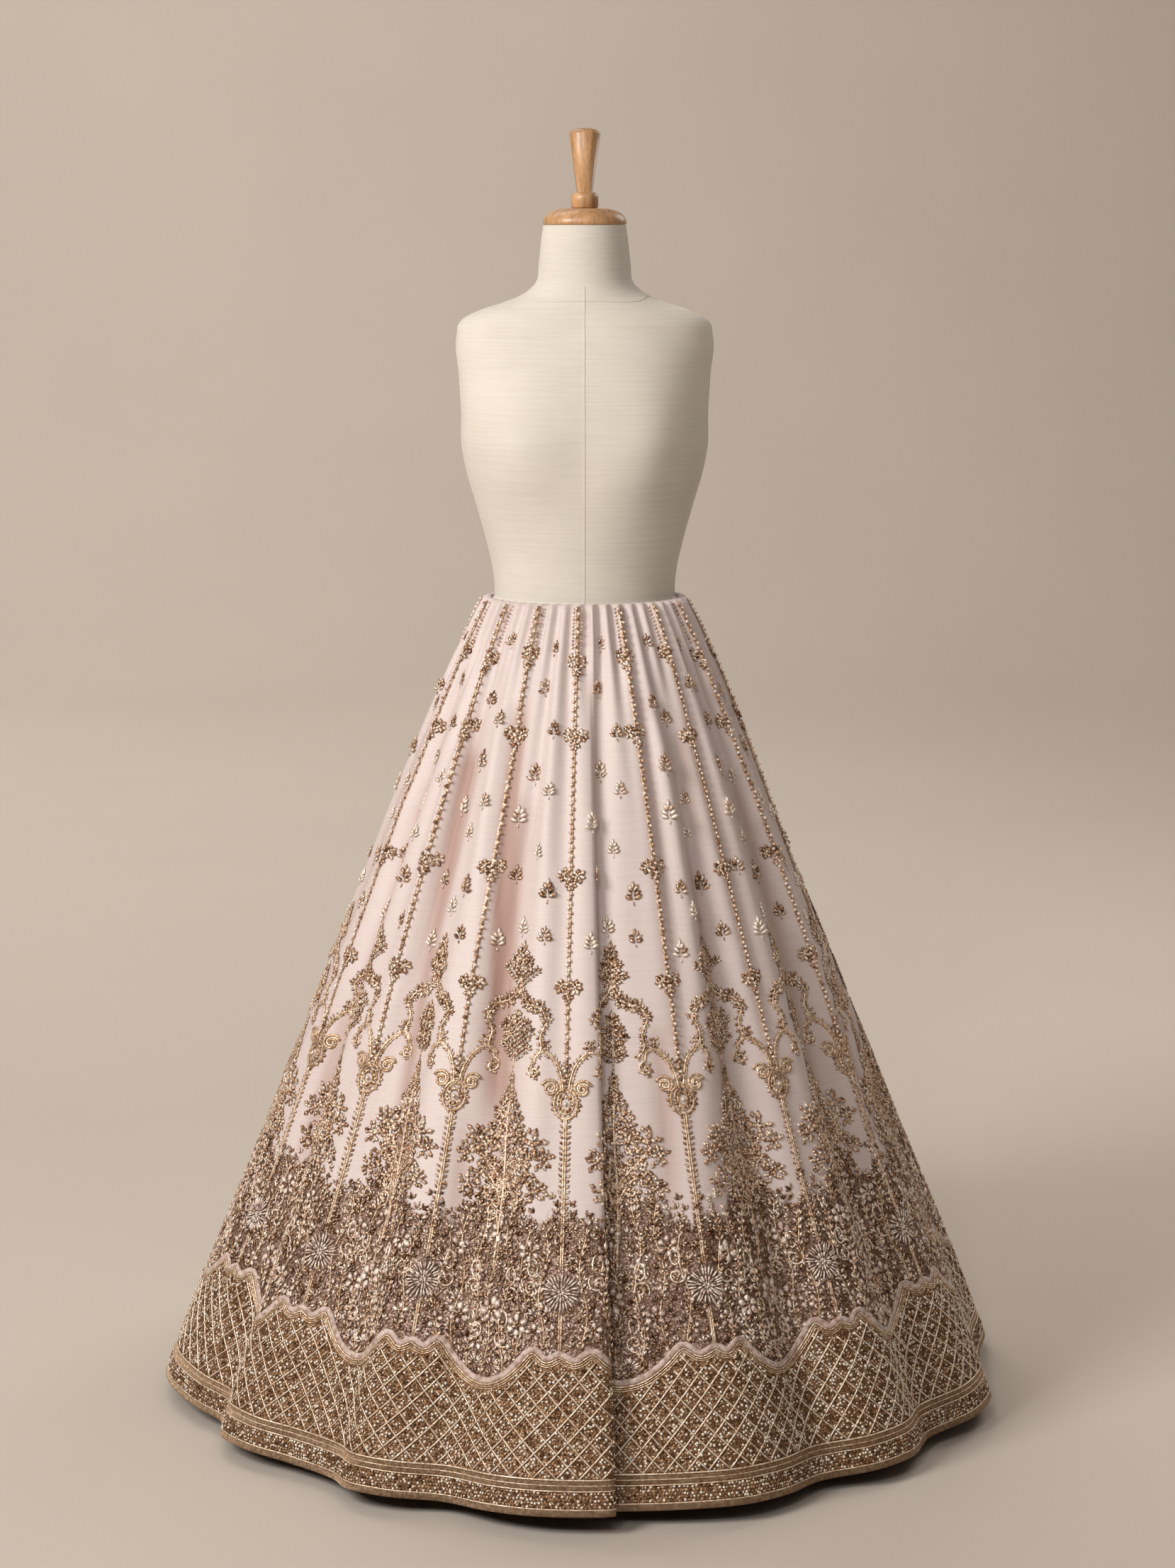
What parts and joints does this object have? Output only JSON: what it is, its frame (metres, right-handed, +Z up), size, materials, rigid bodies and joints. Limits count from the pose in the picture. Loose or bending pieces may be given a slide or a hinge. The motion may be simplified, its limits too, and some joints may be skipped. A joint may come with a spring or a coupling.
{
  "type": "lehenga skirt on dress form",
  "caption": "Floor-length flared lehenga skirt cut in gores, gathered at the waist, with a scalloped embroidered hem border, worn by a limbless dress form on a stand.",
  "frame": {"origin": "centre of the stand base's flat underside, on the floor", "axes": "+Z up along the stand's pole, -Y towards the front of the skirt, +X towards the form's left side"},
  "size_m": [1.0924, 1.0903, 1.6266],
  "materials": {
    "pink_silk": "raw silk with fine slubs and a soft satin sheen",
    "gold_work": "metal thread embroidery, beads and sequins, glittering",
    "form_linen": "fine plain-woven linen, matt, with seams",
    "turned_wood": "satin varnish, turned"
  },
  "bodies": {
    "root": {"kali_01": "pink_silk", "kali_02": "pink_silk", "kali_03": "pink_silk", "kali_04": "pink_silk", "kali_05": "pink_silk", "kali_06": "pink_silk", "kali_07": "pink_silk", "kali_08": "pink_silk", "kali_09": "pink_silk", "kali_10": "pink_silk", "kali_11": "pink_silk", "kali_12": "pink_silk", "kali_13": "pink_silk", "kali_14": "pink_silk", "kali_15": "pink_silk", "kali_16": "pink_silk", "waist_casing": "pink_silk", "hem_border": "gold_work", "dress_form": "form_linen", "neck_cap": "turned_wood", "cap_handle": "turned_wood", "stand_pole": "turned_wood", "stand_base": "turned_wood"}
  },
  "joints": []
}
